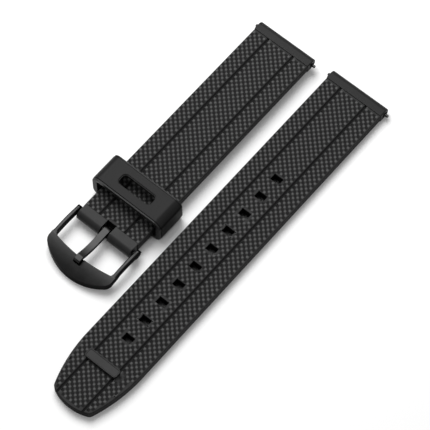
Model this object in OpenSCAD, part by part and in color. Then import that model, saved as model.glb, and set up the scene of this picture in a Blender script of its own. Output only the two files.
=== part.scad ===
// A two-piece moulded rubber watch strap with quick-release spring bars.
//
// The two halves lie side by side, face up, on the plane z = 0. Both lug ends
// point along +Y. The buckle half is on the left and the tail half on the right.
// Each half is drawn in its own frame: x = 0 on its centre line, y = 0 at the
// rear edge of its lug end, and y falling towards the buckle or the tip.
// Units are millimetres.

/* [Strap] */
// Space between the watch's lugs, the strap's nominal size
lug_width = 20; // [18:1:22]
// Length of the tail half, lug end to tip
tail_length = 125.4; // [116:0.1:136]
// Length of the buckle half, lug end to the bar the buckle hangs on
bar_distance = 79.1; // [78:0.1:89]
// Thickness of the rubber
strap_thickness = 3.2; // [2.8:0.1:3.6]
// How much thicker the smooth lug end is than the rest
lug_swell = 0.2; // [0:0.1:0.4]
// Length of the smooth lug end
lug_end_length = 3.6; // [3:0.1:4]
// Distance between the centre lines of the two long grooves
groove_spacing = 9.1; // [8:0.1:9.4]
// Radius of the round-bottomed grooves
groove_radius = 0.55; // [0.3:0.05:0.7]
// Distance between the centre lines of the halves as they lie
half_spacing = 25.4; // [25:0.1:30]
// How far the buckle half lies ahead of the tail half
half_offset = 1.5; // [0:0.1:4]

/* [Holes and locking bar] */
// Number of buckle holes
hole_count = 10; // [6:1:10]
// Distance from hole to hole
hole_pitch = 7; // [6:0.1:7.2]
// Distance from the tip to the nearest hole's centre
tip_to_hole = 24.6; // [23:0.1:27]
// Size of a hole across the strap
hole_across = 3.1; // [2.9:0.1:3.6]
// Size of a hole along the strap
hole_along = 2.2; // [2:0.1:2.6]
// Distance from the tip to the raised locking bar's centre
tip_to_lock = 14.5; // [13:0.1:16]
// Length of the locking bar, across the strap
lock_length = 10.2; // [9:0.1:10.4]
// Height of the locking bar above the rubber
lock_height = 1.1; // [0.6:0.1:1.2]

/* [Keeper] */
// Length of the keeper along the strap
keeper_length = 9.6; // [8:0.1:10.4]
// Wall of the keeper at top and bottom
keeper_wall = 1.5; // [1.2:0.1:1.8]
// Wall of the keeper at the sides
keeper_side_wall = 1.7; // [1.3:0.1:2]
// Distance from the lug end to the keeper's centre
keeper_distance = 66.1; // [60:0.1:67]

/* [Buckle] */
// Radius of the rubber roll around the buckle's bar
roll_radius = 1.9; // [1.8:0.05:2]
// Distance from the bar to the front edge of the buckle
buckle_reach = 16.2; // [15.8:0.1:18]
// Thickness of the buckle frame
frame_thickness = 2.4; // [2.2:0.1:2.6]
// Width of each side arm
arm_width = 1.3; // [1.2:0.05:1.8]
// Width of the tongue
tongue_width = 2.1; // [1.9:0.1:2.4]

/* [Spring bars] */
// Radius of a spring bar's tube
bar_radius = 0.9; // [0.85:0.05:0.95]
// Radius of the turned tips
tip_radius = 0.45; // [0.4:0.025:0.45]
// How far a sprung tip stands out of the lug end
tip_out = 1.1; // [0.9:0.1:1.2]
// How far the fixed tip stands out on the other side
fixed_tip_out = 0.8; // [0.6:0.1:1.1]
// Travel of the release knob
release_travel = 1.3; // [1.2:0.1:1.5]

/* [Fits] */
// Radial gap where something turns or slides in a bore
running_gap = 0.05; // [0.03:0.01:0.08]
// Gap between parts that stay put
seat_gap = 0.02; // [0.01:0.01:0.04]
// Gap at each side of the strap in the keeper
keeper_side_play = 1; // [0.4:0.1:1.2]
// Gap under the strap in the keeper
keeper_play = 0.1; // [0.05:0.05:0.2]
// Gap at each side of the roll in the buckle
buckle_play = 0.6; // [0.4:0.05:0.8]

/* [Hidden] */
$fn = 72;
small_fn = 32;
over = 1;
hair = 0.01;

// Rubber: widths and heights
cap_width = lug_width - 0.2;
strap_width = cap_width - 0.4;
roll_width = strap_width - 0.4;
edge_radius = 1;
cap_height = strap_thickness + lug_swell;
cap_radius = cap_height / 2;
// The buckle half lies on the keeper's lower wall, so it sits higher
lift = keeper_wall + keeper_play;

// The keeper's loop takes both halves, one above the other
keeper_inner_width = strap_width + 2 * keeper_side_play;
keeper_width = keeper_inner_width + 2 * keeper_side_wall;
keeper_inner_height = 2 * strap_thickness + 2 * keeper_play;
keeper_height = keeper_inner_height + 2 * keeper_wall;
keeper_corner = 2.1;
keeper_inner_corner = 1;
keeper_lip = 0.6;
keeper_lip_drop = 0.15;
// Gap around the locking bar in the window: at its long sides and at its ends
lock_play = 0.4;
lock_end_play = 0.6;
window_corner = 1.1;
window_step = 0.3;

// Where the halves lie, so that the whole is centred on x = 0 and y = 0
right_reach = cap_width / 2 + tip_out;
tail_x = (half_spacing + keeper_width / 2 - right_reach) / 2;
buckle_x = tail_x - half_spacing;
lug_y = tail_length / 2;

// Tail tip: the sides curve in, a flatter arc closes the end, and a small
// circle that touches both rounds each corner
tip_side_radius = 48.5;
tip_curve_length = 19.2;
tip_end_radius = 13.7;
tip_corner = 1.8;
tip_straight = tail_length - tip_curve_length;
tip_corner_at = touching([strap_width / 2 - tip_side_radius, -tip_straight], tip_side_radius - tip_corner,
                         [0, tip_end_radius - tail_length], tip_end_radius - tip_corner);
lock_width = 2.5;
lock_corner = 0.6;
lock_root = groove_radius + seat_gap;

// Spring bars
tube_inner = bar_radius - 0.2;
bar_bore = bar_radius + running_gap;
neck_radius = tip_radius + running_gap;
neck_length = 0.4;
collar_radius = tube_inner - running_gap;
collar_length = 2;
release_collar_length = 4;
end_gap = 0.2;
release_tube_length = cap_width - 2 * end_gap;
buckle_tube_length = roll_width - 2 * end_gap;
tip_chamfer = 0.12;
shaft_radius = tip_radius - 0.17;
tip_clear = 0.05;
spring_outer = collar_radius - 0.03;
spring_inner = spring_outer - 0.2;

// Release knob, on a shank through a slot in the tube
knob_inset = 2.1;
knob_x = release_tube_length / 2 - neck_length - seat_gap - knob_inset;
knob_radius = 0.55;
knob_top = bar_radius + running_gap;
knob_depth = cap_radius - knob_top - 0.25;
shank_radius = 0.3;
shank_root = 0.1;
shank_play = 0.1;
notch_margin = 0.5;
notch_depth = 1.4;

// Buckle, seen from its bar
axis_z = lift + strap_thickness / 2;
frame_inner = roll_width / 2 + buckle_play;
frame_outer = frame_inner + arm_width;
frame_eye = 1.5;
arm_hole_depth = 1;
pin_reach = frame_inner + arm_hole_depth - 0.1;
shoulder = frame_eye + 0.3;
front_radius = 17.8;
front_bar = 5.5;
frame_corner = 2.6;
inner_edge_radius = 50;
inner_corner = 0.8;
inner_edge_y = inner_edge_radius + front_bar - buckle_reach;
// The front bar stands a little higher than the arms
arm_step = 0.25;
// The frame is a slice of a wide ring. Its centre is (arch_y, arch_z), and its
// inner radius lets the frame's front edge touch z = 0
arch_y = -4.6;
arch_z = -28.7;
arch_inner = sqrt(pow(axis_z + arch_z, 2) + pow(buckle_reach + arch_y, 2));
arch_outer = arch_inner + frame_thickness;

// Tongue: a ring on the bar, a flat root, an upward curve to a crest, and a toe
// that is nearly level on top and rests in the notch at its end
slot_width = tongue_width + 1;
slot_back = 2.9;
ring_radius = bar_radius + running_gap + 0.55;
tongue_thickness = 1.05;
tongue_tip = buckle_reach - 3.6;
tongue_root = 4.5;
root_top = 1.25;
tongue_curve = 17.5;
curve_steps = 16;
toe_length = 1.9;
toe_fall = 0.2;
toe_foot = 0.7;
nose_length = 0.35;
nose_drop = 0.5;
crest_turn = asin((tongue_tip - toe_length - tongue_root) / tongue_curve);
notch_floor = arch_outer - 0.45;
notch_play = 0.15;
tongue_under = notch_floor + seat_gap;

rubber = [0.13, 0.13, 0.14];
metal = [0.2, 0.2, 0.21];
steel = [0.62, 0.62, 0.64];

// Height of a circle of the arch above the bar's axis, at a distance y from it
function arch_height(radius, y) = arch_z + sqrt(radius * radius - pow(y - arch_y, 2));
// The point at distance ra from a and rb from b, on the right seen from a to b
function touching(a, ra, b, rb) =
    let (d = norm(b - a), u = (b - a) / d, m = (ra * ra - rb * rb + d * d) / (2 * d), h = sqrt(ra * ra - m * m))
    a + m * u + h * [u.y, -u.x];

echo(gap_beside_keeper = half_spacing - keeper_width / 2 - strap_width / 2);
echo(tip_in_arm = pin_reach - frame_inner, knob_depth = knob_depth);

// Places
module in_tail_half() translate([tail_x, lug_y, 0]) children();
module in_buckle_half() translate([buckle_x, lug_y - half_offset, lift]) children();
module at_buckle_bar() translate([0, -bar_distance, strap_thickness / 2]) children();
module at_release_bar() translate([0, -cap_radius, cap_radius]) children();

// A 2D shape drawn as (x, z), run along the strap from y0 to y1
module along(y0, y1) translate([0, y1, 0]) rotate([90, 0, 0]) linear_extrude(y1 - y0) children();
// A 2D shape drawn as (y, z), run across the strap, centred on x = 0
module across(width) translate([-width / 2, 0, 0]) rotate([90, 0, 90]) linear_extrude(width) children();
// A round rod across the strap from x0 to x1
module rod(radius, x0, x1) translate([x0, 0, 0]) rotate([0, 90, 0]) cylinder(r = radius, h = x1 - x0);

module rounded_rect(size_x, size_y, radius) {
    square([size_x, size_y - 2 * radius], center = true);
    square([size_x - 2 * radius, size_y], center = true);
    for (sx = [-1, 1], sy = [-1, 1])
        translate([sx * (size_x / 2 - radius), sy * (size_y / 2 - radius)]) circle(r = radius);
}

// The lower end of an outline: part of a circle on x = 0, and a rounded corner at
// each side with its centre at p. A corner is a hair larger than the one that
// would only touch its neighbours, so that the arcs cross
module round_end(centre_y, radius, corner, p) {
    for (s = [-1, 1]) translate([s * p.x, p.y]) circle(r = corner + hair);
    intersection() {
        translate([0, centre_y]) circle(r = radius, $fn = 180);
        polygon([[0, centre_y], [-2 * p.x, 2 * p.y - centre_y], [2 * p.x, 2 * p.y - centre_y]]);
    }
}

// A straight-sided outline that such an end closes
module round_ended(half_width, centre_y, radius, corner, top) {
    p = [half_width - corner, centre_y - sqrt(pow(radius - corner, 2) - pow(half_width - corner, 2))];
    translate([-half_width, p.y]) square([2 * half_width, top - p.y]);
    round_end(centre_y, radius, corner, p);
}

// Rubber shared by both halves
module strap_section() translate([0, strap_thickness / 2]) rounded_rect(strap_width, strap_thickness, edge_radius);

module grooves(y0, y1)
    for (s = [-1, 1]) translate([s * groove_spacing / 2, y0, strap_thickness])
        rotate([-90, 0, 0]) cylinder(r = groove_radius, h = y1 - y0, $fn = small_fn);

// The smooth lug end: a half-round rear edge and a flat band
module lug_end() across(cap_width) {
    translate([-cap_radius, cap_radius]) circle(r = cap_radius);
    translate([-lug_end_length, 0]) square([lug_end_length - cap_radius, cap_height]);
}

// What a lug end loses: the bar's bore, and a notch below for the release knob
module lug_end_cuts() at_release_bar() {
    rod(bar_bore, -cap_width / 2 - over, cap_width / 2 + over);
    translate([knob_x - release_travel - knob_radius - notch_margin, -notch_depth, -cap_radius - over])
        cube([release_travel + 2 * (knob_radius + notch_margin), notch_depth + cap_radius + over,
              cap_radius + over]);
}

// Tail half
module tail_outline() {
    translate([-strap_width / 2, -tip_straight]) square([strap_width, tip_straight - cap_radius]);
    intersection() {
        translate([-strap_width / 2, tip_corner_at.y])
            square([strap_width, seat_gap - tip_straight - tip_corner_at.y]);
        translate([strap_width / 2 - tip_side_radius, -tip_straight]) circle(r = tip_side_radius, $fn = 180);
        translate([tip_side_radius - strap_width / 2, -tip_straight]) circle(r = tip_side_radius, $fn = 180);
    }
    round_end(tip_end_radius - tail_length, tip_end_radius, tip_corner, tip_corner_at);
}

module buckle_holes()
    for (i = [0:hole_count - 1])
        translate([0, tip_to_hole + i * hole_pitch - tail_length, strap_thickness / 2])
            cube([hole_across, hole_along, strap_thickness + 2 * over], center = true);

module locking_bar()
    translate([0, tip_to_lock - tail_length, strap_thickness - lock_root])
        linear_extrude(lock_root + lock_height) rounded_rect(lock_length, lock_width, lock_corner, $fn = small_fn);

module tail_strap() color(rubber) in_tail_half() {
    difference() {
        union() {
            intersection() {
                along(-tail_length, -cap_radius) strap_section();
                linear_extrude(strap_thickness) tail_outline();
            }
            lug_end();
        }
        grooves(-tail_length - over, -lug_end_length);
        buckle_holes();
        lug_end_cuts();
    }
    locking_bar();
}

// Buckle half
module buckle_strap() color(rubber) in_buckle_half() difference() {
    union() {
        along(shoulder - bar_distance, -cap_radius) strap_section();
        lug_end();
        translate([-roll_width / 2, -bar_distance, 0]) cube([roll_width, shoulder + seat_gap, strap_thickness]);
        at_buckle_bar() rod(roll_radius, -roll_width / 2, roll_width / 2);
    }
    grooves(shoulder - bar_distance, -lug_end_length);
    at_buckle_bar() {
        rod(bar_bore, -roll_width / 2 - over, roll_width / 2 + over);
        translate([-slot_width / 2, -roll_radius - over, -roll_radius - over])
            cube([slot_width, roll_radius + over + slot_back, 2 * (roll_radius + over)]);
    }
    lug_end_cuts();
}

module keeper_ring(drop) difference() {
    rounded_rect(keeper_width - 2 * drop, keeper_height - 2 * drop, keeper_corner - drop);
    rounded_rect(keeper_inner_width, keeper_inner_height, keeper_inner_corner);
}

module window_outline(grow)
    rounded_rect(lock_length + 2 * (lock_end_play + grow), lock_width + 2 * (lock_play + grow),
                 window_corner + grow, $fn = small_fn);

module keeper() color(rubber)
    translate([buckle_x, lug_y - half_offset - keeper_distance, keeper_height / 2]) difference() {
        union() {
            along(keeper_lip - keeper_length / 2, keeper_length / 2 - keeper_lip) keeper_ring(0);
            along(-keeper_length / 2, keeper_length / 2) keeper_ring(keeper_lip_drop);
        }
        linear_extrude(keeper_height) window_outline(0);
        translate([0, 0, keeper_height / 2 - window_step]) linear_extrude(keeper_height) window_outline(window_step);
    }

// Buckle frame: the plan and the side view, crossed
module frame_plan() difference() {
    round_ended(frame_outer, front_radius - buckle_reach, front_radius, frame_corner, frame_eye);
    round_ended(frame_inner, inner_edge_y, inner_edge_radius, inner_corner, frame_eye + over);
}

module frame_side() {
    circle(r = frame_eye);
    intersection() {
        translate([-buckle_reach - over, -buckle_reach]) square([buckle_reach + over, 2 * buckle_reach]);
        translate([arch_y, arch_z]) difference() {
            circle(r = arch_outer, $fn = 240);
            circle(r = arch_inner, $fn = 240);
        }
    }
}

// What lies above the arms, behind the front bar's inner edge
module above_arms() intersection() {
    across(2 * frame_outer + over) difference() {
        translate([-buckle_reach - over, 0]) square([buckle_reach + 2 * over, buckle_reach]);
        translate([arch_y, arch_z]) circle(r = arch_outer - arm_step, $fn = 240);
    }
    translate([0, inner_edge_y, -buckle_reach]) cylinder(r = inner_edge_radius, h = 2 * buckle_reach, $fn = 180);
}

module tongue_notch() across(tongue_width + 2 * notch_play) difference() {
    translate([-tongue_tip - notch_play, 0]) square([tongue_tip, buckle_reach]);
    translate([arch_y, arch_z]) circle(r = notch_floor, $fn = 240);
}

module buckle_frame() color(metal) in_buckle_half() at_buckle_bar() difference() {
    intersection() {
        translate([0, 0, -buckle_reach]) linear_extrude(2 * buckle_reach) frame_plan();
        across(2 * frame_outer + over) frame_side();
    }
    above_arms();
    tongue_notch();
    for (s = [-1, 1]) translate([s * (frame_inner + arm_hole_depth / 2), 0, 0])
        rod(neck_radius, -arm_hole_depth / 2 - seat_gap, arm_hole_depth / 2 + seat_gap, $fn = small_fn);
}

// A point of the upward curve, on a circle above the root
function curve_point(radius, turn) =
    [-tongue_root - radius * sin(turn), root_top + tongue_curve - radius * cos(turn)];

module tongue_side() difference() {
    crest = curve_point(tongue_curve, crest_turn);
    union() {
        circle(r = ring_radius);
        polygon([[0, ring_radius],
                 for (k = [0 : curve_steps]) curve_point(tongue_curve, crest_turn * k / curve_steps),
                 [-tongue_tip + nose_length, crest.y - toe_fall],
                 [-tongue_tip, crest.y - toe_fall - nose_drop],
                 [-tongue_tip, arch_height(tongue_under, -tongue_tip)],
                 [-tongue_tip + toe_foot, arch_height(tongue_under, toe_foot - tongue_tip)],
                 for (k = [curve_steps : -1 : 0])
                     curve_point(tongue_curve + tongue_thickness, crest_turn * k / curve_steps),
                 [0, ring_radius - tongue_thickness]]);
    }
    circle(r = bar_bore);
}

module tongue() color(metal) in_buckle_half() at_buckle_bar() across(tongue_width) tongue_side();

// Spring bars
module bar_tube(length) difference() {
    rod(bar_radius, -length / 2, length / 2);
    rod(tube_inner, neck_length - length / 2, length / 2 - neck_length);
    rod(neck_radius, -length / 2 - over, length / 2 + over, $fn = small_fn);
}

// A turned pin at the right end of a tube, its collar held behind the tube's neck.
// Its shaft is thinner than its tip, which starts where it leaves the strap
module bar_pin(length, collar, tip_from, reach) {
    seat = length / 2 - neck_length - seat_gap;
    rod(collar_radius, seat - collar, seat);
    rod(shaft_radius, seat - collar / 2, tip_from + seat_gap, $fn = small_fn);
    rod(tip_radius, tip_from, reach - tip_chamfer, $fn = small_fn);
    translate([reach - tip_chamfer, 0, 0]) rotate([0, 90, 0])
        cylinder(r1 = tip_radius, r2 = tip_radius - tip_chamfer, h = tip_chamfer, $fn = small_fn);
}

module bar_spring(x0, x1) difference() {
    rod(spring_outer, x0, x1);
    rod(spring_inner, x0 - over, x1 + over);
}

module release_tube() difference() {
    bar_tube(release_tube_length);
    translate([knob_x - release_travel - shank_radius - shank_play, -shank_radius - shank_play, -bar_radius - over])
        cube([release_travel + 2 * (shank_radius + shank_play), 2 * (shank_radius + shank_play),
              bar_radius + over - shank_radius]);
}

module release_fixed_tip()
    mirror([1, 0, 0])
        bar_pin(release_tube_length, collar_length, cap_width / 2 + tip_clear, cap_width / 2 + fixed_tip_out);

module release_pin() difference() {
    bar_pin(release_tube_length, release_collar_length, cap_width / 2 + tip_clear, right_reach);
    translate([knob_x, 0, -bar_radius]) cylinder(r = shank_radius + seat_gap, h = bar_radius - shank_root, $fn = small_fn);
}

module release_knob() translate([knob_x, 0, 0]) {
    translate([0, 0, -knob_top - seat_gap]) cylinder(r = shank_radius, h = knob_top - shank_root, $fn = small_fn);
    translate([0, 0, -knob_top - knob_depth]) cylinder(r = knob_radius, h = knob_depth, $fn = small_fn);
}

module release_spring()
    bar_spring(neck_length + 2 * seat_gap + collar_length - release_tube_length / 2,
               release_tube_length / 2 - neck_length - 2 * seat_gap - release_collar_length);

module buckle_pin() bar_pin(buckle_tube_length, collar_length, roll_width / 2, pin_reach);

module buckle_bar_tube() color(steel) in_buckle_half() at_buckle_bar() bar_tube(buckle_tube_length);
module buckle_bar_pin_left() color(steel) in_buckle_half() at_buckle_bar() mirror([1, 0, 0]) buckle_pin();
module buckle_bar_pin_right() color(steel) in_buckle_half() at_buckle_bar() buckle_pin();
module buckle_bar_spring() color(steel) in_buckle_half() at_buckle_bar() {
    half = buckle_tube_length / 2 - neck_length - 2 * seat_gap - collar_length;
    bar_spring(-half, half);
}

module release_tube_a() color(steel) in_buckle_half() at_release_bar() release_tube();
module release_fixed_tip_a() color(steel) in_buckle_half() at_release_bar() release_fixed_tip();
module release_pin_a() color(steel) in_buckle_half() at_release_bar() release_pin();
module release_knob_a() color(steel) in_buckle_half() at_release_bar() release_knob();
module release_spring_a() color(steel) in_buckle_half() at_release_bar() release_spring();

module release_tube_b() color(steel) in_tail_half() at_release_bar() release_tube();
module release_fixed_tip_b() color(steel) in_tail_half() at_release_bar() release_fixed_tip();
module release_pin_b() color(steel) in_tail_half() at_release_bar() release_pin();
module release_knob_b() color(steel) in_tail_half() at_release_bar() release_knob();
module release_spring_b() color(steel) in_tail_half() at_release_bar() release_spring();

buckle_strap();
keeper();
buckle_frame();
tongue();
buckle_bar_tube();
buckle_bar_pin_left();
buckle_bar_pin_right();
buckle_bar_spring();
release_tube_a();
release_fixed_tip_a();
release_pin_a();
release_knob_a();
release_spring_a();
tail_strap();
release_tube_b();
release_fixed_tip_b();
release_pin_b();
release_knob_b();
release_spring_b();
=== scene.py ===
# %% [markdown]
# # A moulded rubber watch strap
#
# Two rubber halves lie side by side: the one with the buckle and the keeper, and the one
# with the holes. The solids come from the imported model, and this lesson dresses them. The
# rubber gets its pebbled top, the metal its broken edges, and each piece its finish.

import math

import bmesh
import bpy
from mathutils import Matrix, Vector


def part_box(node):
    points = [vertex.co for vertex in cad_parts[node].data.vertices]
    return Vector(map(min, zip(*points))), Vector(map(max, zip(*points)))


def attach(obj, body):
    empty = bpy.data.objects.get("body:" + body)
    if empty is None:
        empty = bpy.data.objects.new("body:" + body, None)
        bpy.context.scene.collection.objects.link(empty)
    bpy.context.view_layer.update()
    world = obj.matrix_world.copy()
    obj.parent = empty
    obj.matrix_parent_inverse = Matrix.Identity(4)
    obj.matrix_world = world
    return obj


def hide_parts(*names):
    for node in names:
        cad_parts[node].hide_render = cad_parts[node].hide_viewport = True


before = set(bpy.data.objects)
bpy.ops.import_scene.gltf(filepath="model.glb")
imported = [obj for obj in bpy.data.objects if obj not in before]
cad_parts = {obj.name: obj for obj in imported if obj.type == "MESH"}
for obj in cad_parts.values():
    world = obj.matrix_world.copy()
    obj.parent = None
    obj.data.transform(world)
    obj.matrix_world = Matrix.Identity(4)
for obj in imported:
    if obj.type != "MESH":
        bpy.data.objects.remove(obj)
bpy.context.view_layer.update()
MM = 0.001
print("pieces in the packed model:", len(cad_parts))

# %% [markdown]
# ## Camera
#
# The camera comes first, because everything is seen through it. It could be moved until
# the view looks right, but a fit is surer: the angles and the long lens follow from the
# perspective of the grooves and holes. It stands to the right of the buckle's end, high up
# and far away. It has no roll, so its turn is two plain angles. Its place is in metres, and
# its lens and sensor are in millimetres.

# %% Set up the camera
AZIMUTH = math.radians(40.04)
ELEVATION = math.radians(63.61)
DISTANCE = 0.6694
TARGET = Vector((0.00638, 0.00652, 0))
SENSOR = 36
LENS = 201.97

scene = bpy.context.scene
scene.view_settings.view_transform = "Standard"
away = Vector((math.cos(ELEVATION) * math.sin(AZIMUTH),
               -math.cos(ELEVATION) * math.cos(AZIMUTH), math.sin(ELEVATION)))
bpy.ops.object.camera_add(location=TARGET + away * DISTANCE,
                          rotation=(math.pi / 2 - ELEVATION, 0, AZIMUTH))
camera = bpy.context.active_object
camera.name = "camera"
camera.data.sensor_width = SENSOR
camera.data.lens = LENS
scene.camera = camera
print("camera at", [round(v, 3) for v in camera.location])

# %% [markdown]
# ## Floor and light
#
# The strap lies on white. A stronger lamp would whiten the floor, but it would also wash out
# the shadow and the black rubber. So the floor's own colour makes it pale, and a faint glow
# that only the camera and reflections see takes it the rest of the way to white. Deep in a
# hole that glow would look like a lit floor. An ambient occlusion node finds where the floor
# sees little of the sky, and there it darkens the colour and the glow, as painted shade. One
# large soft lamp stands behind the left edge, since the shadows fall to the right, and the
# world fills in the rest.

# %% Helpers that start a piece


def only(piece):
    """Makes a piece the one selected, active object."""
    bpy.ops.object.select_all(action="DESELECT")
    piece.select_set(True)
    bpy.context.view_layer.objects.active = piece


def start(name, primitive, stretch=(1, 1, 1), **options):
    """Adds a primitive, names it, stretches it, and puts its place in its mesh."""
    bpy.ops.object.select_all(action="DESELECT")
    primitive(**options)
    piece = bpy.context.active_object
    piece.name = piece.data.name = name
    piece.scale = stretch
    bpy.ops.object.transform_apply()
    return piece


# %% Helpers for nodes
SKY_REACH = 6 * MM


def new_material(name):
    """A new material, with its node tree and its shader."""
    material = bpy.data.materials.new(name)
    material.use_nodes = True
    return material, material.node_tree, material.node_tree.nodes["Principled BSDF"]


def combine(tree, operation, a, b):
    """Does one operation on a node's output and either another output or a number."""
    node = tree.nodes.new("ShaderNodeMath")
    node.operation = operation
    tree.links.new(a, node.inputs[0])
    if isinstance(b, bpy.types.NodeSocket):
        tree.links.new(b, node.inputs[1])
    else:
        node.inputs[1].default_value = b
    return node.outputs[0]


def between(tree, factor, low, high, factor_low=0, factor_high=1):
    """Maps a factor onto the range between two numbers, which can be two greys."""
    node = tree.nodes.new("ShaderNodeMapRange")
    node.inputs["From Min"].default_value = factor_low
    node.inputs["From Max"].default_value = factor_high
    node.inputs["To Min"].default_value = low
    node.inputs["To Max"].default_value = high
    tree.links.new(factor, node.inputs["Value"])
    return node.outputs["Result"]


def open_sky(tree, own_piece_only):
    """How much of the sky a spot sees within a few millimetres, from 0 to 1."""
    node = tree.nodes.new("ShaderNodeAmbientOcclusion")
    node.only_local = own_piece_only
    node.inputs["Distance"].default_value = SKY_REACH
    return node.outputs["AO"]


# %% Lay the floor
FLOOR_SIZE = 8
# The painted shade: the greys deep in a hole and out in the open, and the shares of sky where they
# begin
FLOOR_GREYS = (0.01, 0.97)
FLOOR_SKY = (0.2, 0.38)
FLOOR_GLOW = 0.1

floor = start("floor", bpy.ops.mesh.primitive_plane_add, size=FLOOR_SIZE)
paper, tree, shader = new_material("white_paper")
rays = tree.nodes.new("ShaderNodeLightPath").outputs
seen = combine(tree, "MAXIMUM", rays["Is Glossy Ray"], rays["Is Transmission Ray"])
seen = combine(tree, "MAXIMUM", rays["Is Camera Ray"], seen)
# Painted shade: the floor's colour, and with it its glow, darkens where the floor sees little sky
grey = between(tree, open_sky(tree, False), *FLOOR_GREYS, *FLOOR_SKY)
glow = combine(tree, "MULTIPLY", grey, combine(tree, "MULTIPLY", seen, FLOOR_GLOW))
tree.links.new(grey, shader.inputs["Base Color"])
tree.links.new(glow, shader.inputs["Emission Strength"])
shader.inputs["Emission Color"].default_value = (1, 1, 1, 1)
shader.inputs["Roughness"].default_value = 1
shader.inputs["Specular IOR Level"].default_value = 0
floor.data.materials.append(paper)
print("floor is", round(floor.dimensions.x, 1), "m wide")

# %% Light it
SKY_LEVEL = 0.3
LAMP_AT = Vector((-0.2, 0.125, 0.43))
LAMP_SIZE = 0.34
LAMP_POWER = 2.45

world = bpy.data.worlds.new("studio")
scene.world = world
world.use_nodes = True
world.node_tree.nodes["Background"].inputs["Color"].default_value = (1, 1, 1, 1)
world.node_tree.nodes["Background"].inputs["Strength"].default_value = SKY_LEVEL

bpy.ops.object.light_add(type="AREA", location=LAMP_AT)
lamp = bpy.context.active_object
lamp.name = "soft_lamp"
lamp.rotation_euler = (-LAMP_AT).to_track_quat("-Z", "Y").to_euler()
lamp.data.shape = "SQUARE"
lamp.data.size = LAMP_SIZE
lamp.data.energy = LAMP_POWER
print("lamp at", [round(v, 2) for v in lamp.location])

# %% [markdown]
# ## Finishes
#
# Black rubber and black metal have almost no colour of their own, so they are told apart by
# their gloss: how strong it is, how wide it spreads, and how evenly. Moulded rubber has a
# very fine matt grain from its spark-eroded mould. On the pebbled tops the hollows are
# rougher, and the colour is painted paler on the high spots and darker in the hollows: a
# painted highlight and painted shade. This could be painted on an image, but nodes stay
# sharp at any distance and fit every piece. One node group holds the grain, and another
# finds the high spots from their height, for that painted highlight and shade.

# %% Shader node groups


def group(name, inputs, outputs):
    """An empty node group with these float inputs and their defaults, and these outputs."""
    tree = bpy.data.node_groups.new(name, "ShaderNodeTree")
    for socket, default in inputs.items():
        item = tree.interface.new_socket(socket, in_out="INPUT", socket_type="NodeSocketFloat")
        item.default_value = default
    for socket in outputs:
        tree.interface.new_socket(socket, in_out="OUTPUT", socket_type="NodeSocketFloat")
    return tree, tree.nodes.new("NodeGroupInput"), tree.nodes.new("NodeGroupOutput")


grain, inside, outside = group("mould_grain", {"Scale": 9000, "Blotch Scale": 300},
                               ["Grain", "Blotch"])
place = grain.nodes.new("ShaderNodeTexCoord")
for out, size, detail in (("Grain", "Scale", 2), ("Blotch", "Blotch Scale", 3)):
    noise = grain.nodes.new("ShaderNodeTexNoise")
    noise.inputs["Detail"].default_value = detail
    grain.links.new(place.outputs["Object"], noise.inputs["Vector"])
    grain.links.new(inside.outputs[size], noise.inputs["Scale"])
    grain.links.new(noise.outputs["Fac"], outside.inputs[out])

# A mask by height, for the painted highlight on the high spots and painted shade below them
high, inside, outside = group("sheen_and_shade_by_height", {"Low": 0, "High": 1}, ["Mask"])
place = high.nodes.new("ShaderNodeTexCoord")
split = high.nodes.new("ShaderNodeSeparateXYZ")
ramp = high.nodes.new("ShaderNodeMapRange")
high.links.new(place.outputs["Object"], split.inputs[0])
high.links.new(split.outputs["Z"], ramp.inputs["Value"])
high.links.new(inside.outputs["Low"], ramp.inputs["From Min"])
high.links.new(inside.outputs["High"], ramp.inputs["From Max"])
high.links.new(ramp.outputs["Result"], outside.inputs["Mask"])
print("groups:", [g.name for g in bpy.data.node_groups])

# %% Helpers that use the groups


def use_group(tree, name, **values):
    """Places a group in a tree, and sets its inputs. Blotch_Scale sets Blotch Scale."""
    node = tree.nodes.new("ShaderNodeGroup")
    node.node_tree = bpy.data.node_groups[name]
    for key, value in values.items():
        node.inputs[key.replace("_", " ")].default_value = value
    return node


def grainy(tree, shader, height, strength, depth):
    """Roughens a surface with the grain, to a depth in millimetres."""
    bump = tree.nodes.new("ShaderNodeBump")
    bump.inputs["Strength"].default_value = strength
    bump.inputs["Distance"].default_value = depth * MM
    tree.links.new(height, bump.inputs["Height"])
    tree.links.new(bump.outputs["Normal"], shader.inputs["Normal"])


# %% Rubber
RUBBER_UNEVEN = 0.08
HOLLOW_ROUGH = 0.95
# Painted shade in the pits: how much of its colour a spot keeps in a pit and in the open, and the
# shares of sky there
PIT_GREYS = (0.2, 1)
PIT_SKY = (0.25, 0.6)


def rubber(name, dark, light, rough, gloss, heights=None):
    """Matt moulded rubber. With heights, its greys go from painted shade on the low spots to a
    painted highlight on the high spots, and more painted shade darkens its pits.
    """
    material, tree, shader = new_material(name)
    noise = use_group(tree, "mould_grain")
    if heights:
        # Painted highlight on the high spots and painted shade in the hollows, by height
        top = use_group(tree, "sheen_and_shade_by_height", Low=heights[0] * MM, High=heights[1] * MM)
        top = top.outputs["Mask"]
        roughness = between(tree, top, HOLLOW_ROUGH, rough)
        # Painted shade: the colour darkens where the pebbles and pits hide the sky
        shade = between(tree, open_sky(tree, True), *PIT_GREYS, *PIT_SKY)
        grey = combine(tree, "MULTIPLY", between(tree, top, dark, light), shade)
    else:
        blotch = noise.outputs["Blotch"]
        roughness = between(tree, blotch, rough - RUBBER_UNEVEN, rough + RUBBER_UNEVEN)
        grey = between(tree, blotch, dark, light)
    tree.links.new(grey, shader.inputs["Base Color"])
    tree.links.new(roughness, shader.inputs["Roughness"])
    grainy(tree, shader, noise.outputs["Grain"], strength=0.25, depth=0.02)
    shader.inputs["Specular IOR Level"].default_value = gloss
    print("rubber finish:", name)
    return material


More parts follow.
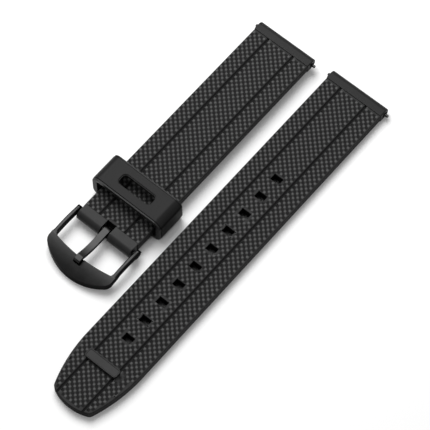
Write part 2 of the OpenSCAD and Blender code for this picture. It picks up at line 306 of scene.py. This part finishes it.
smooth_rubber = rubber("smooth_rubber", dark=0.019, light=0.026, rough=0.42, gloss=0.13)
lug_rubber = rubber("lug_rubber", dark=0.017, light=0.024, rough=0.4, gloss=0.09)
# A darker copy of the rubber for the side walls: painted shade
shaded_wall_rubber = rubber("shaded_wall_rubber", dark=0.01, light=0.015, rough=0.5, gloss=0.05)
keeper_rubber = rubber("keeper_rubber", dark=0.015, light=0.021, rough=0.34, gloss=0.055)
# A paler copy of the keeper's rubber for its lips: a painted highlight
lip_highlight_rubber = rubber("lip_highlight_rubber", dark=0.024, light=0.032, rough=0.34, gloss=0.09)

# %% Metal
METAL_UNEVEN = 0.05
METAL_BLOTCH = 500


def metal(name, dark, light, rough, edge, scale):
    """Metal with a fine satin grain and slightly uneven gloss."""
    material, tree, shader = new_material(name)
    noise = use_group(tree, "mould_grain", Scale=scale, Blotch_Scale=METAL_BLOTCH)
    blotch = noise.outputs["Blotch"]
    roughness = between(tree, blotch, rough - METAL_UNEVEN, rough + METAL_UNEVEN)
    tree.links.new(between(tree, blotch, dark, light), shader.inputs["Base Color"])
    tree.links.new(roughness, shader.inputs["Roughness"])
    grainy(tree, shader, noise.outputs["Grain"], strength=0.15, depth=0.01)
    shader.inputs["Metallic"].default_value = 1
    shader.inputs["Specular Tint"].default_value = (edge, edge, edge, 1)
    print("metal finish:", name)
    return material


black_steel = metal("black_steel", dark=0.024, light=0.031, rough=0.36, edge=0.4, scale=12000)
turned_steel = metal("turned_steel", dark=0.05, light=0.08, rough=0.4, edge=0.5, scale=14000)

# %% [markdown]
# The spring bars are turned from bare steel. They could be modelled again with finer edges,
# but only their tips and knobs are seen, so their solids stay and just get a finish.

# %% Dress the spring bars
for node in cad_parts.values():
    for slot in node.material_slots:
        slot.material = turned_steel
print("turned steel on", len(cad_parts), "solids, some of which are replaced below")

# %% [markdown]
# The pebbled rubber finds its high spots by their height, for its painted highlight and
# shade, so it needs to know how high each half lies. A painted mask would do without that,
# but it would have to be painted again after each change of shape. The tail half lies on the
# floor. The buckle half lies on the keeper's lower wall, and its roll reaches a little lower
# than its underside. The greys, painted shade low and a painted highlight high, run from
# just below the skin, as the sheet between the pebbles is called here, to their tops.

# %% Where the halves lie
SKIN = 3.1
ROLL_BELOW = 0.3
# The painted shade is full this far below the skin, and the painted highlight this far above it
GREY_FROM = -0.12
GREY_TO = 0.22


def solid_box(node):
    """The lowest and the highest corner of a solid, in millimetres."""
    return [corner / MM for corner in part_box(node)]


low, high = solid_box("tail_strap")
TAIL_AT = ((low.x + high.x) / 2, high.y, low.z)
low, high = solid_box("buckle_strap")
HALF_AT = ((low.x + high.x) / 2, high.y, low.z + ROLL_BELOW)
print("tail half at", [round(v, 2) for v in TAIL_AT])
print("buckle half at", [round(v, 2) for v in HALF_AT])

# %% Pebbled rubber for each half
# Each half's pebbled rubber, with painted highlight and shade by height
pebbled = {name: rubber("pebbled_" + name, dark=0.01, light=0.085, rough=0.55, gloss=0.15,
                        heights=(foot + SKIN + GREY_FROM, foot + SKIN + GREY_TO))
           for name, foot in (("tail", TAIL_AT[2]), ("half", HALF_AT[2]))}

# %% [markdown]
# ## The pebbled rubber
#
# The top of both halves is one sheet of small square cells. Every other cell holds a round
# pebble, so the pebbles stand in a staggered pattern with clean edges along the grooves. A
# bump texture would give the same look from above, but it would be flat from the side and
# missing from the mesh. The sheet is three grids, one between the grooves and one outside
# each of them, and a bridge joins two grids along each groove. Measures are in millimetres
# while a piece is being made, because tools with small built-in limits work better so, and
# it shrinks to metres at the end. A half is drawn with x = 0 on its centre line and y = 0 at
# the rear edge of its lug end.

# %% Measures of the rubber
WIDTH = 19.5
THICKNESS = 3.2
CELL_X = 0.905
CELL_Y = 0.92
# The middle field and the outer ones, and the round groove between them
MIDDLE_COLUMNS = 9
OUTER_COLUMNS = 5
MIDDLE_TO = MIDDLE_COLUMNS * CELL_X / 2
OUTER_FROM = 4.99
GROOVE_AT = 4.53
GROOVE_RADIUS = 0.34
GROOVE_CUTS = 5
# Where the cells begin, and where the lug end begins, which the sheet reaches into
FIRST_ROW = -4.1125
LUG_LINE = -3.6
LUG_OVERLAP = 0.1
print("a pebble every", 2 * CELL_X, "mm across and", 2 * CELL_Y, "mm along")

# %% Helpers for edit mode


def near(a, b, by=0.01):
    """Whether two numbers are nearly the same."""
    return abs(a - b) < by


def edit(piece):
    """Opens a piece in edit mode with nothing selected."""
    only(piece)
    bpy.ops.object.mode_set(mode="EDIT")
    bpy.ops.mesh.select_all(action="DESELECT")


def done():
    """Leaves edit mode."""
    bpy.ops.object.mode_set(mode="OBJECT")


def pick(kind, test):
    """Selects the verts, edges or faces that pass a test, and nothing else."""
    bpy.ops.mesh.select_mode(type={"verts": "VERT", "edges": "EDGE", "faces": "FACE"}[kind])
    bpy.ops.mesh.select_all(action="DESELECT")
    mesh = bmesh.from_edit_mesh(bpy.context.edit_object.data)
    found = [part for part in getattr(mesh, kind) if test(part)]
    for part in found:
        part.select_set(True)
    mesh.select_flush_mode()
    bmesh.update_edit_mesh(bpy.context.edit_object.data)
    return len(found)


def middle_of(face):
    """The point in the middle of a face."""
    return face.calc_center_median()


def runs_along(edge, axis):
    """Whether an edge is parallel to the x, y or z axis."""
    step = edge.verts[1].co - edge.verts[0].co
    return all(near(getattr(step, other), 0) for other in "xyz" if other != axis)


# %% Helpers that extrude and join


def extrude(x, y, z):
    """Extrudes what is selected, and moves it."""
    bpy.ops.mesh.extrude_region_move(TRANSFORM_OT_translate={"value": (x, y, z)})


def join(name, pieces):
    """Joins pieces into one object."""
    only(pieces[0])
    for piece in pieces:
        piece.select_set(True)
    bpy.ops.object.join()
    pieces[0].name = pieces[0].data.name = name
    return pieces[0]


# %% The sheet of cells
GROOVE_FIT = 0.03


def field(columns, rows, left, lower):
    """One grid of cells, with its lower left corner at (left, lower)."""
    width, length = columns * CELL_X, rows * CELL_Y
    return start("field", bpy.ops.mesh.primitive_grid_add, (width, length, 1), size=1,
                 x_subdivisions=columns, y_subdivisions=rows,
                 location=(left + width / 2, lower + length / 2, SKIN))


def lengthen(y, distance):
    """Extrudes the sheet's edge at y straight on by a distance."""
    pick("edges", lambda e: e.is_boundary and all(near(v.co.y, y) for v in e.verts))
    extrude(0, distance, 0)


def sheet_of_cells(name, rows):
    """Three fields of cells with round-bottomed grooves between them, open in edit mode."""
    lower = FIRST_ROW - rows * CELL_Y
    sheet = join(name, [field(MIDDLE_COLUMNS, rows, -MIDDLE_TO, lower),
                        field(OUTER_COLUMNS, rows, OUTER_FROM, lower),
                        field(OUTER_COLUMNS, rows, -OUTER_FROM - OUTER_COLUMNS * CELL_X, lower)])
    edit(sheet)
    for side in (-1, 1):
        pick("edges", lambda e: runs_along(e, "y") and any(near(e.verts[0].co.x, side * x)
                                                           for x in (MIDDLE_TO, OUTER_FROM)))
        bpy.ops.mesh.bridge_edge_loops(number_cuts=GROOVE_CUTS)
    step = (OUTER_FROM - MIDDLE_TO) / (GROOVE_CUTS + 1)
    for k in range(1, GROOVE_CUTS + 1):
        x = MIDDLE_TO + k * step
        # The bridge doesn't space its cuts quite evenly, so they are looked for a bit wider
        pick("verts", lambda v: near(abs(v.co.x), x, GROOVE_FIT))
        depth = math.sqrt(max(0, GROOVE_RADIUS ** 2 - (x - GROOVE_AT) ** 2))
        bpy.ops.transform.translate(value=(0, 0, -depth))
    lengthen(FIRST_ROW, LUG_LINE - FIRST_ROW + LUG_OVERLAP)
    return sheet


# %% [markdown]
# Solidify could make the sheet thick, but its edges would be square and its underside would
# have as many faces as its top. So the outer edge is pulled out and down in small steps for
# the rounded shoulder, then straight down, tucked in at the bottom, and closed there with
# one face.

# %% Sides and underside
# How far out and down each point of the shoulder is from the edge of the cells
SHOULDER = ((0.1, 0.02), (0.19, 0.08), (0.235, 0.2))
SHOULDER_OUT = SHOULDER[-1][0]
# How far out each step down the wall goes, and the height that it ends at
WALL = ((0, 2.2), (0, 0.6), (-0.12, 0.15), (-0.3, 0))


def pull(out, z, end_too, flat=True):
    """Extrudes the selected rim, and moves its sides out, and its far end if that goes too.
    A flat rim ends at the height z. One that isn't keeps its ups and downs, and sinks by z."""
    bpy.ops.mesh.extrude_region_move()
    rim = [v.co for v in bmesh.from_edit_mesh(bpy.context.edit_object.data).verts if v.select]
    wide, long = max(c.x for c in rim), LUG_LINE - min(c.y for c in rim)
    scale = ((wide + out) / wide, (long + out) / long if end_too else 1, 0 if flat else 1)
    bpy.ops.transform.resize(value=scale, center_override=(0, LUG_LINE, z if flat else 0))
    if not flat:
        bpy.ops.transform.translate(value=(0, 0, -z))


def close_up(sheet, end_too):
    """Turns the sheet into a closed solid that stands on z = 0. Its sides are rounded, and
    its far end too if that is asked for."""
    pick("edges", lambda e: e.is_boundary)
    last_out, last_down = 0, 0
    for out, down in SHOULDER:
        pull(out - last_out, down - last_down, end_too, flat=False)
        last_out, last_down = out, down
    for out, z in WALL:
        pull(out, z, end_too)
    bpy.ops.mesh.edge_face_add()
    bpy.ops.mesh.select_all(action="SELECT")
    bpy.ops.mesh.normals_make_consistent(inside=False)
    done()
    print(sheet.name, "has", len(sheet.data.polygons), "faces before its pebbles")


# %% [markdown]
# ## Cutting with other solids
#
# Holes, bores and slots go right through. Faces could be deleted and bridged by hand, but a
# Boolean modifier, applied at once, leaves clean walls wherever the cells lie. This is done
# while the solid is still light, before it has its pebbles.

# %% Helpers that cut and soften
# A cutter starts below the underside and ends above the pebbles
CUT_FROM, CUT_TO = -1, 5


def apply(piece, kind, **settings):
    """Adds a modifier with these settings and applies it."""
    only(piece)
    modifier = piece.modifiers.new(kind.lower(), kind)
    for key, value in settings.items():
        setattr(modifier, key, value)
    bpy.ops.object.modifier_apply(modifier=modifier.name)


def cut(piece, cutter, operation="DIFFERENCE"):
    """Cuts a piece with another solid, or adds that solid to it, and uses the solid up."""
    apply(piece, "BOOLEAN", object=cutter, operation=operation, solver="EXACT")
    bpy.data.objects.remove(cutter)


def soften(piece, width, segments, degrees):
    """Rounds all edges of a piece that are sharper than an angle."""
    apply(piece, "BEVEL", width=width, segments=segments, limit_method="ANGLE",
          angle_limit=math.radians(degrees))


def bevel_edges(offset, segments, test):
    """Rounds the edges that pass the test, in edit mode."""
    pick("edges", test)
    bpy.ops.mesh.bevel(offset=offset, segments=segments, affect="EDGES")


# %% Helpers that start a box or a rod


def block(name, low, high):
    """A box from one corner to the other."""
    low, high = Vector(low), Vector(high)
    return start(name, bpy.ops.mesh.primitive_cube_add, high - low, size=1,
                 location=(low + high) / 2)


def rod(name, radius, x0, x1, y, z, sides=48):
    """A round rod along x."""
    return start(name, bpy.ops.mesh.primitive_cylinder_add, vertices=sides, radius=radius,
                 depth=x1 - x0, location=((x0 + x1) / 2, y, z), rotation=(0, math.pi / 2, 0))


# %% [markdown]
# ## Pebbles
#
# On the real strap each pebble is a low dome, with small pits between the pebbles. Thousands
# of added spheres would be heavy and would only stick in the sheet, so the pebbles grow out
# of it. Cutting the corner off every cell turns the squares into octagons with small
# diamonds between them. Every other octagon is inset a few times and raised a little each
# time, which makes a dome. The rest are inset and lowered, which makes pits. A diamond is
# the saddle between two pebbles: it rises where they lie along one diagonal and sinks where
# they lie along the other. One lip of each groove stands up a little and catches the light.
# A cell that a hole, the outline or the raised bar has cut is left smooth, as it is on the
# real mould.

# %% Helpers that find the cells
CORNER = 0.25
SADDLE_AREA = 2 * CORNER ** 2
LEAST_OCTAGON = 0.68
AREA_FIT = 0.004
CELL_FIT = 0.12
print("the diamond between four octagons covers", SADDLE_AREA, "square mm")


def on_top(face):
    """Whether a face lies flat at the level of the sheet."""
    return face.normal.z > 0.99 and near(middle_of(face).z, SKIN)


def whole_cell(face):
    """Whether a face is a cell that nothing has cut."""
    return (on_top(face) and len(face.verts) == 4
            and near(face.calc_area(), CELL_X * CELL_Y, AREA_FIT))


def column_and_row(x, y):
    """Where a point is in the sheet, in cells. Whole numbers are the middles of cells."""
    if abs(x) < MIDDLE_TO:
        column = x / CELL_X
    else:
        column = math.copysign((abs(x) - OUTER_FROM) / CELL_X + MIDDLE_COLUMNS / 2 + 1, x)
    return column, (FIRST_ROW - y) / CELL_Y - 0.5


def cell_of(face):
    """Column and row of the cell whose middle a face has, as whole numbers, or None."""
    column, row = column_and_row(*middle_of(face).xy)
    if not near(column, round(column), CELL_FIT) or not near(row, round(row), CELL_FIT):
        return None
    return round(column), round(row)


def is_octagon(face, parity):
    """Whether a face is what is left of a whole cell of one parity."""
    cell = on_top(face) and face.calc_area() > LEAST_OCTAGON and cell_of(face)
    return bool(cell) and sum(cell) % 2 == parity


def is_saddle(face, parity):
    """Whether a face is a small diamond, and the cell at one corner of it has one parity.
    That tells which of its two diagonals joins two pebbles."""
    if not on_top(face) or not near(face.calc_area(), SADDLE_AREA, AREA_FIT):
        return False
    middle = middle_of(face)
    column, row = column_and_row(middle.x - CELL_X / 2, middle.y + CELL_Y / 2)
    return (round(column) + round(row)) % 2 == parity


# %% Helper that raises the pebbles
# The width and the rise of each inset
PEBBLE = ((0.05, 0.08), (0.1, 0.1), (0.13, 0.05))
PIT = ((0.06, -0.05), (0.12, -0.05))
# The rise of the saddles along either diagonal, and of one lip of each groove
SADDLES = (0.03, -0.09)
LIP_RISE = 0.16


def raise_pebbles(piece, bare=lambda x, y: False):
    """Pebbles on every other whole cell and pits on the rest, outside the bare places."""
    edit(piece)
    pick("verts", lambda v: len(v.link_faces) == 4 and all(whole_cell(f) for f in v.link_faces))
    bpy.ops.mesh.bevel(offset=CORNER, affect="VERTICES")
    counts = []
    for parity, steps in enumerate((PEBBLE, PIT)):
        counts.append(pick("faces", lambda f: is_octagon(f, parity) and not bare(*middle_of(f).xy)))
        for thickness, depth in steps:
            bpy.ops.mesh.inset(thickness=thickness, depth=depth, use_individual=True)
    for parity, rise in enumerate(SADDLES):
        pick("faces", lambda f: is_saddle(f, parity))
        bpy.ops.transform.translate(value=(0, 0, rise))
    pick("verts", lambda v: near(v.co.z, SKIN) and any(near(v.co.x, x)
                                                       for x in (-MIDDLE_TO, OUTER_FROM)))
    bpy.ops.transform.translate(value=(0, 0, LIP_RISE))
    done()
    print(piece.name, "has", counts[0], "pebbles and", counts[1], "pits")


# %% [markdown]
# ## Lug ends
#
# Each half ends in a smooth block with a round back, a little taller than the rest, that
# goes between the watch's lugs. A cylinder joined to a box could make it, but a box whose
# two rear edges are rounded right over has no seam. The bore takes the spring bar, and the
# notch underneath leaves room for its knob.

# %% Lug end
LUG_HEIGHT = 3.4
LUG_WIDTH = 19.8
# The round of the back is just short of half the height, so that its two edges don't meet
LUG_BACK = LUG_HEIGHT / 2 - 0.02
LUG_SIDE_EDGE = 0.35
BORE = 0.95
# The release knob's middle, and the room around it for its travel and for a fingernail
KNOB_AT = 7.18
KNOB_TRAVEL = 1.3
KNOB_ROOM = 1.05
NOTCH_BEFORE = 1.4
NOTCH_BEHIND = 1
NOTCH_TOP = 1.7
print("a lug end is", LUG_WIDTH, "by", -LUG_LINE, "by", LUG_HEIGHT, "mm")


def lug_end():
    """The smooth end block, with its bore and notch."""
    end = block("lug_end", (-LUG_WIDTH / 2, LUG_LINE, 0), (LUG_WIDTH / 2, 0, LUG_HEIGHT))
    edit(end)
    bevel_edges(LUG_BACK, 10, lambda e: runs_along(e, "x") and near(e.verts[0].co.y, 0))
    pick("faces", lambda f: abs(f.normal.x) > 0.9)
    bpy.ops.mesh.bevel(offset=LUG_SIDE_EDGE, segments=4, affect="EDGES")
    done()
    y = -LUG_HEIGHT / 2
    cut(end, rod("bore", BORE, -LUG_WIDTH, LUG_WIDTH, y, LUG_HEIGHT / 2))
    cut(end, block("notch", (KNOB_AT - KNOB_TRAVEL - KNOB_ROOM, y - NOTCH_BEFORE, CUT_FROM),
                   (KNOB_AT + KNOB_ROOM, NOTCH_BEHIND, NOTCH_TOP)))
    soften(end, width=0.12, segments=2, degrees=40)
    end.data.materials.append(lug_rubber)
    return end


# %% [markdown]
# ## The tail half
#
# Ten rectangular holes, and a tip whose sides curve in to a flatter end. A Boolean with a
# drawn outline could shape the tip. But its outline is convex, so straight bisections that
# follow the curves do it too, and the cut edge comes out in even steps for the shoulder.

# %% Outline of the tip
TIP = -125.4
CURVE_LENGTH = 19.2
SIDE_RADIUS = 48.5
SIDE_CENTRE = Vector((WIDTH / 2 - SIDE_RADIUS, TIP + CURVE_LENGTH))
END_RADIUS = 13.7
END_CENTRE = Vector((0, TIP + END_RADIUS))
CORNER_RADIUS = 1.8
DEGREES_APART = 2
print("the sides curve in over the last", CURVE_LENGTH, "mm")


def touching(a, radius_a, b, radius_b):
    """The point to the right at these distances from two points."""
    line = b - a
    along = (radius_a ** 2 - radius_b ** 2 + line.length_squared) / (2 * line.length)
    off = math.sqrt(radius_a ** 2 - along ** 2)
    line.normalize()
    return a + line * along + Vector((line.y, -line.x)) * off


def cut_outline(inwards):
    """Bisects off what lies outside the tip's outline, moved inwards by a distance."""
    corner = touching(SIDE_CENTRE, SIDE_RADIUS - CORNER_RADIUS,
                      END_CENTRE, END_RADIUS - CORNER_RADIUS)
    side_to = math.atan2(SIDE_CENTRE.y - corner.y, corner.x - SIDE_CENTRE.x)
    end_from = math.atan2(END_CENTRE.y - corner.y, corner.x)
    count = 0
    for degrees in range(DEGREES_APART, 91, DEGREES_APART):
        turn = math.radians(degrees)
        centre, radius = corner, CORNER_RADIUS
        if turn < side_to:
            centre, radius = SIDE_CENTRE, SIDE_RADIUS
        elif turn > end_from:
            centre, radius = END_CENTRE, END_RADIUS
        point = centre + Vector((math.cos(turn), -math.sin(turn))) * (radius - inwards)
        for side in (-1, 1):
            bpy.ops.mesh.select_all(action="SELECT")
            bpy.ops.mesh.bisect(plane_co=(side * point.x, point.y, 0),
                                plane_no=(side * math.cos(turn), -math.sin(turn), 0),
                                clear_outer=True, threshold=0.0005)
            count += 1
    return count


# %% Make the tail half
TAIL_ROWS = 132
HOLES = 10
HOLE_FIRST = TIP + 24.6
HOLE_PITCH = 7
HOLE_X, HOLE_Y = 3.1, 2.2

tail = sheet_of_cells("tail_rubber", TAIL_ROWS)
print("outline cut by", cut_outline(SHOULDER_OUT), "planes")
close_up(tail, end_too=True)
for k in range(HOLES):
    y = HOLE_FIRST + k * HOLE_PITCH
    cut(tail, block("hole", (-HOLE_X / 2, y - HOLE_Y / 2, CUT_FROM),
                    (HOLE_X / 2, y + HOLE_Y / 2, CUT_TO)))

# %% [markdown]
# The raised bar near the tip snaps into the keeper's window. It could be extruded from the
# sheet, but the cells don't line up with it. So it is a low block of its own, with rounded
# corners and a thin rim around a bare, slightly sunken top. The sheet is smooth around it.

# %% Pebbles around the raised bar
BAR_LINE = TIP + 14.5
BAR_FROM, BAR_TO = -5.7, 5.2
BAR_DEPTH = 2.8
BAR_LOW, BAR_HIGH = BAR_LINE - BAR_DEPTH / 2, BAR_LINE + BAR_DEPTH / 2
# How far the smooth patch goes past the bar on its four sides
BARE_LEFT, BARE_RIGHT = 0.3, 1.5
BARE_BEFORE, BARE_BEHIND = 0.8, 0.25


def near_bar(x, y):
    """Whether a place is in the smooth patch around the raised bar."""
    return (BAR_FROM - BARE_LEFT < x < BAR_TO + BARE_RIGHT
            and BAR_LOW - BARE_BEFORE < y < BAR_HIGH + BARE_BEHIND)


raise_pebbles(tail, near_bar)

# %% Make the raised bar
BAR_RISE = 1.1
BAR_ROOT = 0.6
BAR_CORNER = 0.8
BAR_RIM = 0.28
RIM_SLOPE = 0.06
BAR_SUNK = 0.1

bar = block("bar", (BAR_FROM, BAR_LOW, SKIN - BAR_ROOT), (BAR_TO, BAR_HIGH, THICKNESS + BAR_RISE))
edit(bar)
bevel_edges(BAR_CORNER, 5, lambda e: runs_along(e, "z"))
pick("faces", lambda f: f.normal.z > 0.9)
bpy.ops.mesh.inset(thickness=BAR_RIM)
bpy.ops.mesh.inset(thickness=RIM_SLOPE, depth=-BAR_SUNK)
done()
soften(bar, width=0.1, segments=3, degrees=50)
bar.data.materials.append(smooth_rubber)
print("bar has", len(bar.data.polygons), "faces")

# %% [markdown]
# The side walls have no pebbles and see mostly shade, so their colour is painted darker than
# the top, a painted shade. They could be split off as pieces of their own, but a second
# material slot keeps the half whole. Their faces are found by their place and given that slot.

# %% Helpers that paint and settle a piece
# A wall's faces lie this far from the centre line, and this far below the skin
WALL_FROM = 6
WALL_BELOW = 0.15
SMOOTH_UNDER = math.radians(42)


def paint(slot, test):
    """Gives the faces that pass a test one of the open piece's other materials."""
    pick("faces", test)
    bpy.context.edit_object.active_material_index = slot
    bpy.ops.object.material_slot_assign()


def paint_strap(piece, half):
    """The pebbled finish on top, and the smooth, darker one with painted shade on the side walls.
    """
    piece.data.materials.append(pebbled[half])
    piece.data.materials.append(shaded_wall_rubber)
    edit(piece)
    paint(1, lambda f: f.normal.z < 0.5 and middle_of(f).z < SKIN - WALL_BELOW
          and abs(middle_of(f).x) > WALL_FROM)
    done()


def settle(piece, at, body, slot, *nodes):
    only(piece)
    piece.location = Vector(at) * MM
    piece.scale = (MM, MM, MM)
    bpy.ops.object.transform_apply()
    bpy.ops.object.shade_smooth_by_angle(angle=SMOOTH_UNDER)
    apply(piece, "WEIGHTED_NORMAL", keep_sharp=True)
    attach(piece, body)
    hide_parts(*nodes)
    print(piece.name, "rides on", body, "and has", len(piece.data.polygons), "faces")


# %% Finish the tail half
paint_strap(tail, "tail")
tail = join("tail_rubber", [tail, bar, lug_end()])
settle(tail, TAIL_AT, "tail_half", "strap_rubber", "tail_strap")

# %% [markdown]
# ## The buckle half
#
# The same sheet, with fewer rows. Its front end is a smooth roll around the buckle's bar,
# with a slot in the middle for the tongue. The sheet could be bent around the bar, but a rod
# keeps its roundness where a bent sheet wouldn't. So the roll is a rod of its own, with a
# neck that reaches back to the last row of cells.

# %% Make the buckle half
HALF_ROWS = 79
BAR_AT = -79.1
ROLL_BACK = BAR_AT + 1.8
# The slot is cut from well below the roll to well above it
SLOT_X = 3.1
SLOT_FRONT, SLOT_BACK = BAR_AT - 3, BAR_AT + 2.6
SLOT = ((-SLOT_X / 2, SLOT_FRONT, -3), (SLOT_X / 2, SLOT_BACK, 6))

half = sheet_of_cells("buckle_rubber", HALF_ROWS)
last_row = FIRST_ROW - HALF_ROWS * CELL_Y
lengthen(last_row, ROLL_BACK - last_row)
close_up(half, end_too=False)
cut(half, block("slot", *SLOT))
raise_pebbles(half)
paint_strap(half, "half")

# %% Make the roll and finish the buckle half
ROLL_RADIUS = 1.9
ROLL_WIDTH = 19.0
ROLL_BORE_TO = 15
BAR_HEIGHT = 1.6
NECK_OVERLAP = 0.4
NECK_TOP = 3.47

roll = rod("roll", ROLL_RADIUS, -ROLL_WIDTH / 2, ROLL_WIDTH / 2, BAR_AT, BAR_HEIGHT, sides=96)
neck = block("neck", (-ROLL_WIDTH / 2, BAR_AT, 0),
             (ROLL_WIDTH / 2, ROLL_BACK + NECK_OVERLAP, NECK_TOP))
cut(roll, neck, operation="UNION")
cut(roll, rod("bore", BORE, -ROLL_BORE_TO, ROLL_BORE_TO, BAR_AT, BAR_HEIGHT))
cut(roll, block("slot", *SLOT))
soften(roll, width=0.15, segments=2, degrees=50)
roll.data.materials.append(smooth_rubber)
half = join("buckle_rubber", [half, roll, lug_end()])
settle(half, HALF_AT, "buckle_half", "strap_rubber", "buckle_strap")

# %% [markdown]
# ## The keeper
#
# A moulded loop with a window. A bent strip would leave a seam, so it starts as a box of its
# own size, whose long edges are rounded. Around each mouth runs a lip, set off from the rest
# by a narrow valley. It is made by insets and extrusions of the two end faces. The mouths
# are then inset by the wall and bridged, which opens the loop.

# %% Make the keeper's loop
KEEPER_CORNER = 2.6
LIP = 0.6
LIP_DROP = 0.12
VALLEY = 0.2
TOP_WALL = 1.5
SIDE_WALL = 1.7
# The middle of the loop, and its width, length and height
low, high = solid_box("keeper")
KEEPER_AT = (low + high) / 2
KW, KL, KH = high - low


def back_out(size):
    """The scale that takes the valley's bottom out to the lip, for one size of the loop."""
    return (size / 2 - LIP_DROP) / (size / 2 - LIP_DROP - VALLEY)


keeper = block("keeper_loop", (-KW / 2, -KL / 2 + LIP, -KH / 2), (KW / 2, KL / 2 - LIP, KH / 2))
edit(keeper)
bevel_edges(KEEPER_CORNER, 10, lambda e: runs_along(e, "y"))
for end in (-1, 1):
    pick("faces", lambda f: near(middle_of(f).y, end * (KL / 2 - LIP)) and f.normal.y * end > 0.9)
    bpy.ops.mesh.inset(thickness=LIP_DROP + VALLEY)
    extrude(0, end * VALLEY, 0)
    extrude(0, 0, 0)
    bpy.ops.transform.resize(value=(back_out(KW), 1, back_out(KH)), center_override=(0, 0, 0))
    extrude(0, end * (LIP - VALLEY), 0)
    bpy.ops.mesh.inset(thickness=TOP_WALL - LIP_DROP)
    narrower = (KW / 2 - SIDE_WALL) / (KW / 2 - TOP_WALL)
    bpy.ops.transform.resize(value=(narrower, 1, 1), center_override=(0, 0, 0))
pick("faces", lambda f: abs(f.normal.y) > 0.9 and abs(middle_of(f).x) < 1 and len(f.verts) > 4)
bpy.ops.mesh.bridge_edge_loops()
done()
print("the loop is", [round(v, 1) for v in (KW, KL, KH)], "mm")

# %% [markdown]
# The window takes the tail's raised bar. It could be inset in the loop's top, but its round
# corners come easier from outside: a tall block with rounded corners cuts it from above, and
# a slightly larger one cuts the shallow step around it.

# %% Cut the keeper's window
# Half of the window's width and length
WINDOW_X, WINDOW_Y = 5.7, 1.65
WINDOW_CORNER = 1.1
STEP = 0.3
CUTTER_HEIGHT = 9


def window(name, grow, z):
    """A tall block with rounded corners, which cuts the window or the step around it."""
    x, y = WINDOW_X + grow, WINDOW_Y + grow
    cutter = block(name, (-x, -y, z), (x, y, z + CUTTER_HEIGHT))
    edit(cutter)
    bevel_edges(WINDOW_CORNER + grow, 8, lambda e: runs_along(e, "z"))
    done()
    return cutter


cut(keeper, window("window", 0, 0))
cut(keeper, window("step", STEP, KH / 2 - STEP))
soften(keeper, width=0.13, segments=2, degrees=35)
print("the window is", 2 * WINDOW_X, "by", 2 * WINDOW_Y, "mm")

# %% [markdown]
# The lips are painted paler than the rest of the keeper, a painted highlight along its
# mouths, and the side walls darker, a painted shade, as they are on the two halves. Three
# materials on one piece show that, where a mask would have to follow every edge.

# %% Paint the keeper and finish it
SIDE_DEPTH = 0.3
# The band of each lip that takes the painted highlight, and where it starts along the loop
LIP_HIGHLIGHT_BAND = 0.7
LIP_HIGHLIGHT_FROM = KL / 2 - LIP + VALLEY - 0.05


def on_side_wall(face):
    """Whether a face is on the outside of one of the keeper's side walls."""
    return abs(face.normal.x) > 0.9 and abs(middle_of(face).x) > KW / 2 - SIDE_DEPTH


def on_lip(face):
    """Whether a face is on the outer part of one of the keeper's lips, which takes the painted
    highlight.
    """
    middle = middle_of(face)
    return (abs(middle.y) > LIP_HIGHLIGHT_FROM
            and (abs(middle.x) > KW / 2 - LIP_HIGHLIGHT_BAND or abs(middle.z) > KH / 2 - LIP_HIGHLIGHT_BAND))


for finish in (keeper_rubber, lip_highlight_rubber, shaded_wall_rubber):
    keeper.data.materials.append(finish)
edit(keeper)
paint(2, on_side_wall)
paint(1, on_lip)
done()
settle(keeper, KEEPER_AT, "keeper", "keeper_rubber", "keeper")

# %% [markdown]
# ## Buckle and tongue
#
# The solids already have the arched frame and the bent tongue, but with knife edges. Coated
# steel is tumbled before it is coated, so its edges are soft. The two could be modelled
# again, but copies of the solids keep their curves true. A copy is merged, its flat
# triangles are dissolved, and a bevel breaks its edges. That bevel stops at the shortest
# edge anywhere, so the round arms of the frame, which have room for more, get theirs first.

# %% Soften the metal
MERGE_UNDER = 0.002
FLAT_UNDER = math.radians(0.6)
# How far an arm reaches from the bar's axis, and the rim of its bore
ARM_LENGTH = 8.9
BORE_RIM = 0.7
low, high = solid_box("buckle_bar_tube")
BORE_AT = (low + high) / 2
print("bar at", [round(v, 2) for v in BORE_AT])


def along_arm(edge):
    """Whether an edge is on an arm and isn't the rim of its bore."""
    middle = (edge.verts[0].co + edge.verts[1].co) / 2
    rim = all((v.co.yz - BORE_AT.yz).length < BORE_RIM for v in edge.verts)
    return middle.y > BORE_AT.y - ARM_LENGTH and not rim


def steel_copy(name, node):
    """A copy of a solid in millimetres, merged, and with its flat faces whole again."""
    only(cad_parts[node])
    bpy.ops.object.duplicate()
    piece = bpy.context.active_object
    piece.name = piece.data.name = name
    piece.scale = (1 / MM,) * 3
    bpy.ops.object.transform_apply()
    piece.data.materials.clear()
    piece.data.materials.append(black_steel)
    edit(piece)
    bpy.ops.mesh.select_all(action="SELECT")
    bpy.ops.mesh.remove_doubles(threshold=MERGE_UNDER)
    bpy.ops.mesh.dissolve_limited(angle_limit=FLAT_UNDER)
    done()
    return piece


# %% Make the buckle
SHARP = 30
ARM_ROUND = 0.45

buckle = steel_copy("buckle_body", "buckle_frame")
edit(buckle)
bevel_edges(ARM_ROUND, 4, lambda e: e.calc_face_angle(0) > math.radians(SHARP) and along_arm(e))
done()
soften(buckle, width=0.5, segments=4, degrees=SHARP)
settle(buckle, (0, 0, 0), "buckle", "black_steel", "buckle_frame")

# %% Make the tongue
prong = steel_copy("tongue_bar", "tongue")
soften(prong, width=0.15, segments=3, degrees=25)
settle(prong, (0, 0, 0), "tongue", "black_steel", "tongue")
